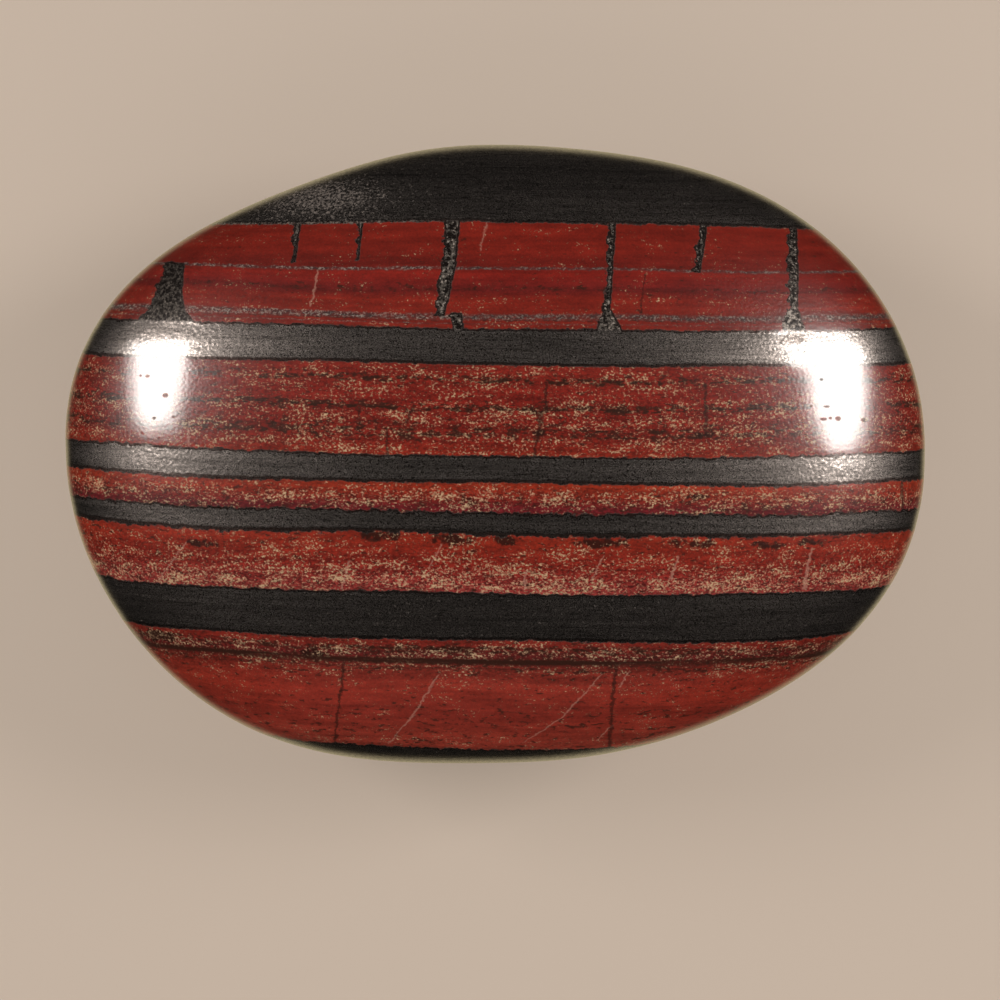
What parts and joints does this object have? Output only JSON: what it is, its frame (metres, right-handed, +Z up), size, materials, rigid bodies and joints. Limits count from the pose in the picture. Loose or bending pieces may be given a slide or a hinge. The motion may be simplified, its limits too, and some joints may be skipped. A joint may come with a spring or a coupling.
{
  "type": "red jasper palm stone",
  "caption": "Polished oval palm stone of red jasper with parallel bands of dark metallic hematite; a smooth double-domed pebble that lies flat on its back.",
  "frame": {"origin": "middle of the stone's bounding box in plan, at the height of the flat that it rests on", "axes": "+X along the bands, the stone's length; +Y across the bands, towards the broad dark band at its edge; +Z up, out of the broad face that the picture shows"},
  "size_m": [0.06, 0.0432, 0.02],
  "materials": {
    "banded_jasper": "polished"
  },
  "bodies": {
    "root": {"stone": "banded_jasper"}
  },
  "joints": []
}
